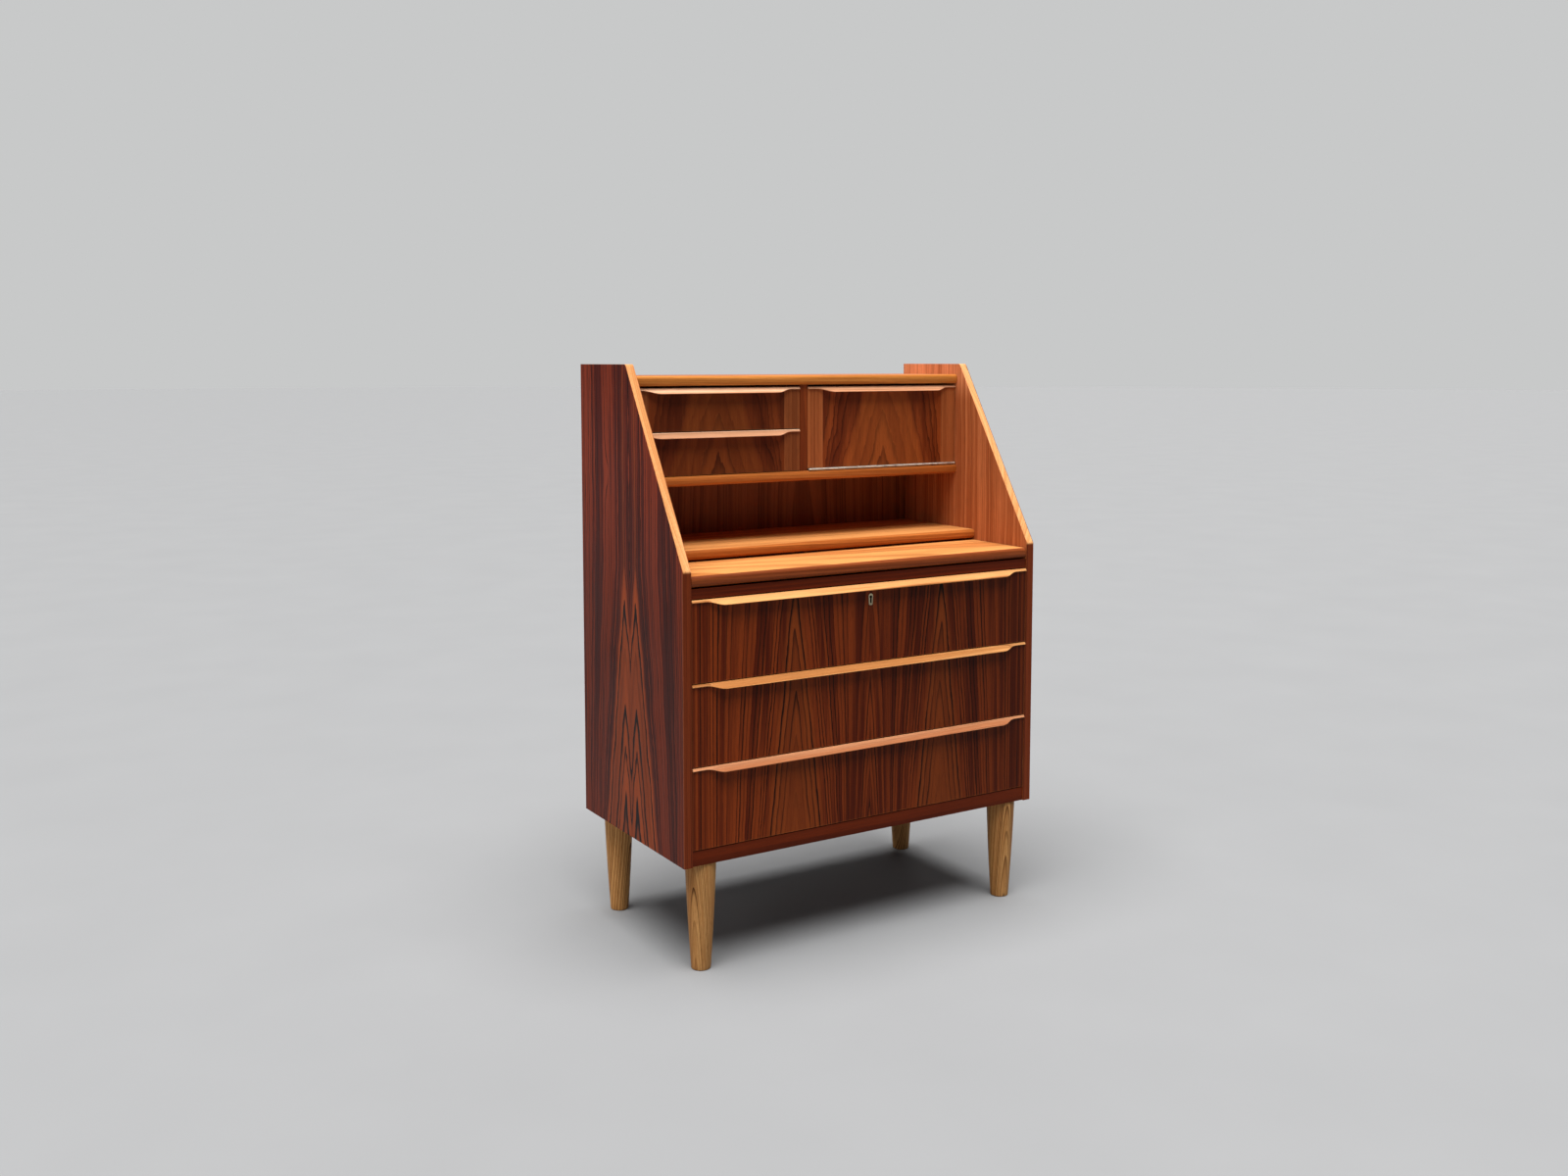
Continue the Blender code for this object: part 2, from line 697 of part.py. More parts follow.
def build_lock(front, mats):
    """The lock behind the top drawer's front, its keyhole plate and the bolt that a key throws."""
    frame = front.parent
    base = DRAWER_TOP - DRAWER_HEIGHT
    lock_z = LOCK_Z - base
    hole = prism(
        lifted(escutcheon_outline(GAP), lock_z), -CUT_PAST, FRONT_THICK + CUT_PAST, "y"
    )
    boolean(front, hole)

    plate = prism(lifted(escutcheon_outline(), lock_z), *PLATE_DEPTH, "y")
    escutcheon = node("escutcheon", plate, mats["steel"], frame)
    boolean(escutcheon, prism(
        lifted(keyhole(), lock_z), PLATE_DEPTH[0] - CUT_PAST, PLATE_DEPTH[1] + CUT_PAST, "y"
    ))

    front_y = FRONT_THICK + GAP
    top = BOLT_TOP - BOLT_CLEAR - base
    case = box(
        (-CASE_HALF_WIDTH, front_y, lock_z - CASE_DROP),
        (CASE_HALF_WIDTH, front_y + CASE_DEPTH, top),
    )
    obj = node("lock_case", case, mats["steel"], frame)
    bolt_low = lock_z + BOLT_RISE
    middle_y = front_y + CASE_DEPTH / 2
    slot_x, slot_y = BOLT_HALF[0] + BOLT_CLEAR, BOLT_HALF[1] + BOLT_CLEAR
    cuts = bmesh.new()
    add_prism(cuts, lifted(keyhole(), lock_z), front_y - CUT_PAST, middle_y, "y")
    add_box(
        cuts,
        (-slot_x, middle_y - slot_y, bolt_low - GAP),
        (slot_x, middle_y + slot_y, top + CUT_PAST),
    )
    boolean(obj, cuts)

    bolt_frame = empty("lock_bolt_frame", (0, middle_y, bolt_low))
    bolt_frame.parent = frame
    half_x, half_y = BOLT_HALF
    bolt = box((-half_x, -half_y, 0), (half_x, half_y, BOLT_TOP - base - bolt_low))
    node("lock_bolt", bolt, mats["steel"], bolt_frame)


def main():
    clear_scene()
    mats = {
        "veneer": material("teak_veneer", (0.19, 0.065, 0.028), 0.38),
        "solid": material("teak_solid", (0.42, 0.17, 0.065), 0.4),
        "oak": material("oak", (0.47, 0.29, 0.13), 0.45),
        "pale": material("beech", (0.55, 0.38, 0.22), 0.55),
        "ply": material("plywood", (0.42, 0.24, 0.12), 0.6),
        "steel": material("nickel_steel", (0.62, 0.58, 0.5), 0.35, 1.0),
    }
    build_sides(mats["veneer"])
    build_boards(mats["veneer"], mats["ply"])
    build_front_rail(mats["solid"])
    build_bottom(mats["veneer"])
    build_legs(mats["oak"])
    top_front = build_wide_drawers(mats)
    build_small_drawers(mats)
    build_writing_board(mats["veneer"], mats["pale"])
    build_flap(mats)
    build_lock(top_front, mats)


main()
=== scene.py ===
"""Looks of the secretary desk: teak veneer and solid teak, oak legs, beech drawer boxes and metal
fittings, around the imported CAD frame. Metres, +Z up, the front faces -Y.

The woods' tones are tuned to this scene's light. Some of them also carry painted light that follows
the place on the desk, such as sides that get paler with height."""

import math

import bmesh
import bpy
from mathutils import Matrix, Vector


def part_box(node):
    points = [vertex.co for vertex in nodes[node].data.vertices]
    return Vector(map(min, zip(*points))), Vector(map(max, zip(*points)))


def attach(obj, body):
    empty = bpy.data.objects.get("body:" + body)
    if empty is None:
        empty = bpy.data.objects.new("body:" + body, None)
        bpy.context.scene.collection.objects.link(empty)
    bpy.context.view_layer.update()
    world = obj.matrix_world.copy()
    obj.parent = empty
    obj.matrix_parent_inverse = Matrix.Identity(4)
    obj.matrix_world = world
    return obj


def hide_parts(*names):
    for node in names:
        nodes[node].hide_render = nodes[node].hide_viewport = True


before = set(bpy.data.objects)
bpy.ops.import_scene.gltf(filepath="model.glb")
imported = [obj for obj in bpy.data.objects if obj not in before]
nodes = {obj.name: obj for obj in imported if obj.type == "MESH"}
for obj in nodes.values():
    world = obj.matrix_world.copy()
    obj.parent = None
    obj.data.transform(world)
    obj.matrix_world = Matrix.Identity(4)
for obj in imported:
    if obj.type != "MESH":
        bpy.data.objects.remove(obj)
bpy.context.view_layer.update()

# ---- places read from the frame ----
SIDE_LOW, SIDE_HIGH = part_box("side_right")
FRONT_Y = SIDE_LOW.y
BACK_Y = SIDE_HIGH.y
OUTER_X = SIDE_HIGH.x
INNER_X = SIDE_LOW.x
MIDDLE_Y = (FRONT_Y + BACK_Y) / 2
DRAWER_FACE_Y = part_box("drawer_top_front")[0].y
TOP_BOARD_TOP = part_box("top_board")[1].z
LEG_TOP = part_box("bottom_panel")[0].z

# ---- camera: stands to the left of the desk at about the height of its top ----
CAMERA_PLACE = (-1.576, FRONT_Y - 2.237, 1.097)
CAMERA_YAW = 31.73
CAMERA_PITCH = 5.18
CAMERA_LENS = 33.65
CAMERA_SHIFT = -0.06

# ---- light: name, strength, width in degrees, tilt from straight down, turn, colour ----
LIGHTS = (
    ("overhead", 7.0, 56, 11, -40, (1.0, 0.975, 0.94)),
    ("left_fill", 0.55, 50, 72, -78, (1.0, 0.98, 0.96)),
    ("back_fill", 0.30, 50, 68, 130, (1.0, 0.98, 0.96)),
)
ROOM_COLOUR = (0.95, 0.97, 1.0, 1.0)
ROOM_STRENGTH = 0.05
FLOOR_COLOURS = ((134, 136, 139), (139, 141, 144))
BACKDROP_COLOUR = (200, 201, 201)
FLOOR_RADIUS = 60.0

# ---- places and sizes of the woodwork ----
SLANT_LOW = 0.731  # where the front edge of a side starts to lean back
LIPPING = 0.0065  # depth of the lipping along a board's front edge
VENEER = 0.0009  # thickness of the veneer on a side
LEAF_JOINT = 0.34  # from the middle of the wide fronts to the joint with their narrow end leaves
STRIP_INNER = 0.046  # the small fronts and the flap have plain strips inside this distance
STRIP_OUTER = 0.345  # and outside this one
WORN_EDGE = (196, 118, 66)
# painted highlight along the front edge of the sides' outer faces
SIDE_ARRIS_HIGHLIGHT = (170, 98, 58)
# painted shade inside the keyhole
KEYHOLE_PAINTED_SHADE = (18, 14, 10)

# ---- flames of the figured leaves: middle and tip of the outermost one, how fast its legs spread,
# the ring spacing inside, how far the straight lines outside reach and how many they are, and how
# far all of them wander ----
SIDE_FLAMES = {
    "centre": 0.024,
    "tip": 0.72,
    "slope": 0.16,
    "ring": 0.015,
    "far": 0.19,
    "outer_rings": 24,
    "wander": 0.024,
}
WIDE_FLAMES = {
    "centre": 0.167,
    "tip": 0.77,
    "slope": 0.11,
    "ring": 0.0105,
    "far": 0.167,
    "outer_rings": 17,
    "wander": 0.012,
}
UPPER_FLAMES = {
    "centre": 0.200,
    "tip": 1.22,
    "slope": 0.30,
    "ring": 0.024,
    "far": 0.20,
    "outer_rings": 9,
    "wander": 0.055,
}
CAT_EYE = (0.090, 0.885)  # an eye in the sides' figure: behind their middle, and its height
INNER_HIGHLIGHT_HEIGHT = 0.06  # below the top board's top, where the sides' inner faces start to carry a painted highlight

# ---- legs ----
LEG_SIDES = 72
LEG_ROWS = 26
LEG_FOOT_RADIUS = 0.018
LEG_TENON_RADIUS = 0.013
LEG_CORE = 0.004  # radius of the innermost ring of its end faces
LEG_BELLY = 0.0008  # how far a leg swells halfway up
FOOT_EASE = 0.0024
SHOULDER_EASE = (0.0012, 0.0024)  # across and down
LEG_GAP = 0.0003  # to the bottom panel

# ---- screws ----
SCREW_SIDES = 24
# rings of a head: share of its radius, and rise as a share of HEAD_RISE radii, or metres below 0
HEAD_RINGS = ((0.93, -0.0004), (1.0, 0.0), (0.86, 0.25), (0.55, 0.40), (0.20, 0.45))
HEAD_RISE = 0.4
SLOT_HALF = 0.16  # half the width of the slot as a share of the radius
SLOT_DEPTH = 0.30
BACK_SCREW_RADIUS = 0.0034
BACK_SCREW_EDGE = 0.012  # from the edge of the back panel
BACK_SCREW_ROWS = 7
BACK_SCREW_COLUMNS = 6
HINGE_SCREW_RADIUS = 0.0019
HINGE_SCREW_EDGE = 0.0045  # from the long edge of the leaf
HINGE_SCREW_COUNT = 6
LEAF_THICK = 0.0008
HEAD_LIFT = 0.0001  # of a hinge screw's rim above the leaf


def linear(colour):
    """Linear colour from 0-255 display values."""
    out = []
    for value in colour:
        c = value / 255
        out.append(c / 12.92 if c <= 0.04045 else ((c + 0.055) / 1.055) ** 2.4)
    return (*out, 1.0)


def piece(name, bm, sharp):
    """A new object from a closed mesh, smooth except at edges over sharp degrees."""
    bmesh.ops.recalc_face_normals(bm, faces=bm.faces)
    mesh = bpy.data.meshes.new(name)
    bm.to_mesh(mesh)
    bm.free()
    obj = bpy.data.objects.new(name, mesh)
    bpy.context.scene.collection.objects.link(obj)
    mesh.shade_smooth()
    mesh.set_sharp_from_angle(angle=math.radians(sharp))
    return obj


def join_rings(bm, loops):
    """Closes a stack of equal rings into one body, with flat ends."""
    for a, b in zip(loops, loops[1:]):
        for i in range(len(a)):
            j = (i + 1) % len(a)
            bm.faces.new((a[i], a[j], b[j], b[i]))
    bm.faces.new(loops[0])
    bm.faces.new(loops[-1])


# ---- node graphs ----
class Graph:
    """A material's nodes, written as expressions."""

    def __init__(self, name):
        self.material = bpy.data.materials.new(name)
        self.material.use_nodes = True
        self.tree = self.material.node_tree
        self.shader = self.tree.nodes["Principled BSDF"]
        place = self.tree.nodes.new("ShaderNodeTexCoord").outputs["Object"]
        split = self.tree.nodes.new("ShaderNodeSeparateXYZ")
        self.link(place, split.inputs[0])
        self.place = place
        self.x, self.y, self.z = split.outputs

    def link(self, value, socket):
        if isinstance(value, bpy.types.NodeSocket):
            self.tree.links.new(value, socket)
        else:
            socket.default_value = value

    def math(self, operation, *values, clamp=False):
        made = self.tree.nodes.new("ShaderNodeMath")
        made.operation = operation
        made.use_clamp = clamp
        for value, socket in zip(values, made.inputs):
            self.link(value, socket)
        return made.outputs[0]

    def add(self, *values):
        total = values[0]
        for value in values[1:]:
            total = self.math("ADD", total, value)
        return total

    def mul(self, a, b):
        return self.math("MULTIPLY", a, b)

    def sub(self, a, b):
        return self.math("SUBTRACT", a, b)

    def xyz(self, x, y, z):
        made = self.tree.nodes.new("ShaderNodeCombineXYZ")
        for value, socket in zip((x, y, z), made.inputs):
            self.link(value, socket)
        return made.outputs[0]

    def noise(self, vector, detail=2.0, roughness=0.5, scale=1.0):
        made = self.tree.nodes.new("ShaderNodeTexNoise")
        self.link(vector, made.inputs["Vector"])
        made.inputs["Scale"].default_value = scale
        made.inputs["Detail"].default_value = detail
        made.inputs["Roughness"].default_value = roughness
        return made.outputs["Fac"]

    def random(self, value, seed=0.0):
        made = self.tree.nodes.new("ShaderNodeTexWhiteNoise")
        made.noise_dimensions = "2D"
        self.link(self.xyz(value, seed, 0.0), made.inputs["Vector"])
        return made.outputs["Value"]

    def remap(self, value, low, high, to_low=0.0, to_high=1.0, smooth=True):
        made = self.tree.nodes.new("ShaderNodeMapRange")
        made.interpolation_type = "SMOOTHSTEP" if smooth else "LINEAR"
        for given, name in (
            (value, "Value"),
            (low, "From Min"),
            (high, "From Max"),
            (to_low, "To Min"),
            (to_high, "To Max"),
        ):
            self.link(given, made.inputs[name])
        return made.outputs[0]

    def blend(self, share, a, b, mode="MIX"):
        made = self.tree.nodes.new("ShaderNodeMix")
        made.data_type = "RGBA"
        made.blend_type = mode
        self.link(share, made.inputs[0])
        self.link(a, made.inputs[6])
        self.link(b, made.inputs[7])
        return made.outputs[2]

    def choose(self, share, a, b):
        made = self.tree.nodes.new("ShaderNodeMix")
        self.link(share, made.inputs[0])
        self.link(a, made.inputs[2])
        self.link(b, made.inputs[3])
        return made.outputs[0]

    def bump(self, height, strength, distance):
        made = self.tree.nodes.new("ShaderNodeBump")
        made.inputs["Strength"].default_value = strength
        made.inputs["Distance"].default_value = distance
        self.link(height, made.inputs["Height"])
        self.link(made.outputs[0], self.shader.inputs["Normal"])

    def finish(self, colour, roughness, specular=0.5, metallic=0.0):
        self.link(colour, self.shader.inputs["Base Color"])
        self.link(roughness, self.shader.inputs["Roughness"])
        self.shader.inputs["Specular IOR Level"].default_value = specular
        self.shader.inputs["Metallic"].default_value = metallic
        return self.material


# ---- wood ----
def tone(line, dark, light, heart=None):
    """A wood's colours: of its dark lines, the darker and lighter ground, and inside its flames."""
    return {
        "line": linear(line),
        "dark": linear(dark),
        "light": linear(light),
        "heart": linear(heart or light),
    }


FRONT_TEAK = tone((28, 8, 2), (78, 24, 5), (122, 50, 15), (124, 56, 19))
UPPER_TEAK = tone((44, 16, 6), (98, 40, 15), (140, 66, 28), (146, 74, 31))
STRIP_TEAK = tone((92, 42, 18), (140, 74, 38), (164, 92, 50))
SIDE_TEAK = tone((16, 4, 2), (64, 16, 6), (108, 38, 15), (148, 65, 24))
INNER_TEAK = tone((104, 48, 22), (156, 84, 46), (188, 112, 68))
CROWN_TEAK = tone((120, 62, 22), (176, 106, 44), (204, 132, 62))
EDGE_TEAK = tone((46, 15, 5), (94, 36, 14), (120, 51, 21))
BOARD_TEAK = tone((66, 27, 11), (112, 52, 23), (140, 70, 34))
SOLID_TEAK = tone((140, 80, 38), (186, 122, 68), (214, 154, 96))
# the small drawers' and the flap's lips: paler solid teak, with a painted highlight that makes them
# pinkish white
LIP_HIGHLIGHT_TEAK = tone((158, 98, 64), (204, 150, 114), (230, 184, 150))
# partly a separate strip of lipping, mostly painted light: the slanted edges face up towards the light,
# so they are paler than the upright edges
SLANT_TEAK_PAINTED_LIGHT = tone((152, 88, 44), (207, 141, 85), (233, 171, 114))
DESK_TEAK = tone((128, 68, 30), (184, 114, 60), (214, 146, 84))
PINK_TEAK = tone((136, 76, 46), (176, 112, 74), (200, 138, 98))
NOSE_TEAK = tone((100, 48, 16), (154, 82, 32), (182, 106, 48))
RAIL_TEAK = tone((34, 9, 1), (72, 21, 3), (98, 34, 7))
BACK_TEAK = tone((60, 26, 12), (112, 58, 30), (142, 80, 44))
OAK = tone((84, 48, 20), (158, 108, 60), (190, 142, 87))
BEECH = tone((176, 138, 98), (206, 170, 128), (222, 190, 150))
PLY = tone((120, 78, 46), (158, 108, 66), (182, 132, 86))


def straight_rings(g, across, through, along, seed, centre, depth, lean, ring, wander):
    """Ring count from the distance to the tree's heart, which lies depth behind the face and leans
    away from it along the grain."""
    slow = g.noise(g.xyz(g.mul(across, 4), seed, g.mul(along, 2.2)), 2.0)
    fast = g.noise(g.xyz(g.mul(across, 22), seed + 7, g.mul(along, 7)), 2.0)
    drift = g.mul(g.sub(slow, 0.5), wander)
    wide = g.add(g.sub(across, centre), drift, g.mul(g.sub(fast, 0.5), wander * 0.22))
    height = g.add(depth, g.mul(along, lean), through)
    radius = g.math("SQRT", g.add(g.mul(wide, wide), g.mul(height, height)))
    return g.math("DIVIDE", radius, ring)


def flame_rings(g, across, along, seed, centre, tip, slope, ring, far, outer_rings, wander):
    """Ring count of a flat-cut leaf: nested pointed flames about centre, whose outermost legs spread
    down from tip, and straight lines that fan out beside them as far as far. Also gives the share
    that is inside the flames."""
    slow = g.noise(g.xyz(g.mul(across, 5), seed, g.mul(along, 2.6)), 2.0)
    fast = g.noise(g.xyz(g.mul(across, 40), seed + 7, g.mul(along, 14)), 3.0, 0.6)
    shift = g.add(g.mul(g.sub(slow, 0.5), wander), g.mul(g.sub(fast, 0.5), wander * 0.40))
    wide = g.add(g.sub(across, centre), shift)
    round_tip = 0.004
    away = g.sub(g.math("SQRT", g.add(g.mul(wide, wide), round_tip ** 2)), round_tip)
    rise = g.noise(g.xyz(seed + 3.0, 0.0, g.mul(along, 6)), 1.0)
    jag = g.noise(g.xyz(g.mul(across, 75), seed + 11, g.mul(along, 9)), 3.0, 0.65)
    level = g.add(along, g.mul(g.sub(rise, 0.5), 0.07), g.mul(g.sub(jag, 0.5), 0.045))
    legs = g.math("MAXIMUM", g.mul(g.sub(tip, level), slope), 0.0015)
    beyond = g.sub(away, legs)
    inside = g.math("MINIMUM", g.math("DIVIDE", beyond, ring), 0.0)
    spread = g.math("DIVIDE", outer_rings, g.math("MAXIMUM", g.sub(far, legs), 0.01))
    outside = g.mul(g.math("MAXIMUM", beyond, 0.0), spread)
    share = g.remap(beyond, -0.016, 0.006, 1.0, 0.0)
    return g.add(inside, outside), share


def grain(g, across, through, along, tones, count, seed, strength=1.0, share=None, contrast=1.0):
    """Colour, pore height and streaks of a face from its ring count."""
    uneven = g.noise(g.xyz(g.mul(count, 0.42), seed, 0.0), 1.0)
    count = g.add(count, g.mul(uneven, 1.5))
    index = g.math("FLOOR", count)
    phase = g.math("FRACT", count)
    rise = g.math("POWER", g.remap(phase, 0.25, 0.94), 2.6)
    line = g.mul(rise, g.remap(phase, 0.95, 1.0, 1.0, 0.0))
    bold = g.math("POWER", g.random(index, seed), 1.6)
    line = g.mul(line, g.remap(bold, 0.0, 1.0, 0.16, 1.15, smooth=False))
    patchy = g.noise(g.xyz(g.mul(across, 14), seed + 9, g.mul(along, 3.5)), 2.0)
    line = g.mul(line, g.remap(patchy, 0.30, 0.58, 0.55, 1.15))
    if share is not None:
        line = g.mul(line, g.add(1.0, g.mul(share, 0.55)))

    streak = g.noise(g.xyz(g.mul(across, 300), g.mul(through, 300), g.mul(along, 4)), 3.0, 0.6)
    fibre = g.noise(g.xyz(g.mul(across, 1100), g.mul(through, 1100), g.mul(along, 24)), 2.0, 0.6)
    band = g.noise(g.xyz(g.mul(across, 34), seed, g.mul(along, 1.1)), 2.0, 0.6)
    broad = g.noise(g.xyz(g.mul(across, 5), seed + 5, g.mul(along, 1.6)), 1.0)
    each = g.random(index, seed + 2)
    mixed = g.add(g.mul(band, 0.52), g.mul(streak, 0.30), g.mul(broad, 0.32), g.mul(each, 0.24))
    tint = g.remap(mixed, 0.69 - 0.17 / contrast, 0.69 + 0.17 / contrast)
    colour = g.blend(tint, tones["dark"], tones["light"])
    if share is not None:
        glow = g.mul(share, g.remap(mixed, 0.5, 0.85, 0.55, 1.0))
        colour = g.blend(glow, colour, tones["heart"])
    colour = g.blend(g.math("MINIMUM", g.mul(line, strength), 1.0), colour, tones["line"])
    pore_noise = g.noise(g.xyz(g.mul(across, 1500), g.mul(through, 1500), g.mul(along, 55)), 1.0)
    pore = g.remap(pore_noise, 0.60, 0.72)
    fine = g.remap(fibre, 0.3, 0.75, 0.84, 1.14, smooth=False)
    colour = g.blend(1.0, colour, g.xyz(fine, fine, fine), mode="MULTIPLY")
    colour = g.blend(g.mul(pore, 0.30), colour, tones["line"])
    height = g.sub(1.0, g.add(g.mul(pore, 0.8), g.mul(line, 0.35)))
    return colour, height, streak


def worn(g, colour, box, axes, amount=0.14):
    """Arrises rubbed a little paler along the edges of a face that spans the two axes."""
    low, high = box
    edge = None
    for axis in axes:
        place = (g.x, g.y, g.z)[axis]
        near = g.math("MINIMUM", g.sub(place, low[axis]), g.sub(high[axis], place))
        edge = near if edge is None else g.math("MINIMUM", edge, near)
    rub = g.noise(g.place, 3.0, 0.6, 60.0)
    share = g.mul(g.remap(g.add(edge, g.mul(rub, 0.0012)), 0.0009, 0.0022, 1.0, 0.0), amount)
    return g.blend(share, colour, linear(WORN_EDGE))


AXES = {"x": 0, "y": 1, "z": 2}
WOOD_IOR = 1.18  # lower than an oiled finish has, to keep the floor's haze off the dark wood


def coat(g, colour, height, streak, rough, bump):
    """Oiled, hand-rubbed finish: fine pores, and a sheen that varies with the grain."""
    g.bump(height, bump, 0.0006)
    smudge = g.noise(g.place, 2.0, 0.5, 7.0)
    roughness = g.add(
        g.remap(streak, 0.3, 0.7, rough - 0.05, rough + 0.05), g.mul(g.sub(smudge, 0.5), 0.14)
    )
    g.shader.inputs["IOR"].default_value = WOOD_IOR
    return g.finish(colour, roughness)


def wood(
    name,
    tones,
    along="z",
    across="x",
    centre=0.0,
    depth=0.03,
    lean=0.06,
    ring=0.0054,
    wander=0.02,
    seed=1.0,
    lines=1.0,
    rough=0.42,
    contrast=1.0,
    front=None,
):
    """Plain-cut wood. front is a darker lipping: (tones, the depth that it ends at)."""
    g = Graph(name)
    axes = (g.x, g.y, g.z)
    a, length = axes[AXES[across]], axes[AXES[along]]
    through = axes[3 - AXES[along] - AXES[across]]
    count = straight_rings(g, a, through, length, seed, centre, depth, lean, ring, wander)
    colour, height, streak = grain(g, a, through, length, tones, count, seed, lines, None, contrast)
    if front:
        lipping, _, _ = grain(g, g.z, g.y, g.x, front[0], g.mul(count, 1.3), seed + 4, 0.5)
        colour = g.blend(g.remap(g.y, front[1], front[1] + 0.0004, 1.0, 0.0), colour, lipping)
    return coat(g, colour, height, streak, rough, 0.12)


def wide_front_wood(name, box):
    """Two book-matched leaves over all three wide drawers, with a narrow leaf at each end."""
    g = Graph(name)
    off = g.math("ABSOLUTE", g.x)
    right = g.math("GREATER_THAN", g.x, 0.0)
    narrow = g.math("GREATER_THAN", off, LEAF_JOINT)
    level = g.add(g.z, g.mul(right, 0.018))
    fanned = g.add(off, g.mul(g.sub(g.z, 0.45), g.remap(off, 0.0, 0.09, 0.10, 0.0)))
    seed = 41.0
    figured, share = flame_rings(g, fanned, level, seed, **WIDE_FLAMES)
    count = g.choose(narrow, figured, g.add(g.math("DIVIDE", off, 0.0062), 40.3))
    share = g.mul(share, g.sub(1.0, narrow))
    colour, height, streak = grain(g, g.x, g.y, g.z, FRONT_TEAK, count, seed, 1.15, share, 1.6)
    seam = g.math("ABSOLUTE", g.sub(off, LEAF_JOINT))
    middle_seam = g.remap(off, 0.0002, 0.0006, 0.35, 0.0)
    seam_line = g.math("MAXIMUM", g.remap(seam, 0.0003, 0.0009, 0.8, 0.0), middle_seam)
    colour = g.blend(seam_line, colour, FRONT_TEAK["line"])
    # painted light and shade: the wide fronts are lighter at the left end and darker at the right end,
    # where less light falls
    shade = g.remap(g.x, -0.38, 0.38, 1.10, 0.70, smooth=False)
    colour = g.blend(1.0, colour, g.xyz(shade, shade, shade), mode="MULTIPLY")
    colour = worn(g, colour, box, (0, 2))
    return coat(g, colour, height, streak, 0.42, 0.12)


def upper_front_wood(name, box, darker):
    """Figured leaves with a plain paler strip beside the divider and another at the outer end."""
    g = Graph(name)
    off = g.math("ABSOLUTE", g.x)
    near, far = g.math("LESS_THAN", off, STRIP_INNER), g.math("GREATER_THAN", off, STRIP_OUTER)
    plain = g.math("MAXIMUM", near, far)
    seed = 47.0
    count, share = flame_rings(g, off, g.z, seed, **UPPER_FLAMES)
    figured, height, streak = grain(g, g.x, g.y, g.z, UPPER_TEAK, count, seed, 0.70, share)
    strip_count = g.math("DIVIDE", off, 0.0045)
    strip, _, _ = grain(g, g.x, g.y, g.z, STRIP_TEAK, strip_count, seed + 1, 0.35)
    colour = g.blend(plain, figured, strip)
    colour = g.blend(1.0, colour, (darker, darker, darker, 1.0), mode="MULTIPLY")
    colour = worn(g, colour, box, (0, 2))
    return coat(g, colour, height, streak, 0.42, 0.12)


def metal(name, colour, rough, scratch, dark_from=None):
    """Brushed, slightly stained metal. From the depth dark_from on it is painted black as the shade
    inside the keyhole.
    """
    g = Graph(name)
    brushed = g.noise(g.xyz(g.mul(g.x, 60), g.mul(g.y, 2500), g.mul(g.z, 2500)), 2.0)
    stain = g.noise(g.place, 3.0, 0.6, 90.0)
    tint = g.remap(stain, 0.35, 0.75)
    dull = tuple(c * 0.62 for c in linear(colour)[:3])
    shade = g.blend(tint, linear(colour), (*dull, 1.0))
    if dark_from is not None:
        # painted shade: black inside the keyhole, behind the drawer's face
        keyhole_shade = g.remap(g.y, dark_from, dark_from + 0.0003)
        shade = g.blend(keyhole_shade, shade, linear(KEYHOLE_PAINTED_SHADE))
    g.bump(brushed, scratch, 0.0002)
    return g.finish(shade, g.remap(brushed, 0.3, 0.7, rough - 0.06, rough + 0.1), metallic=1.0)


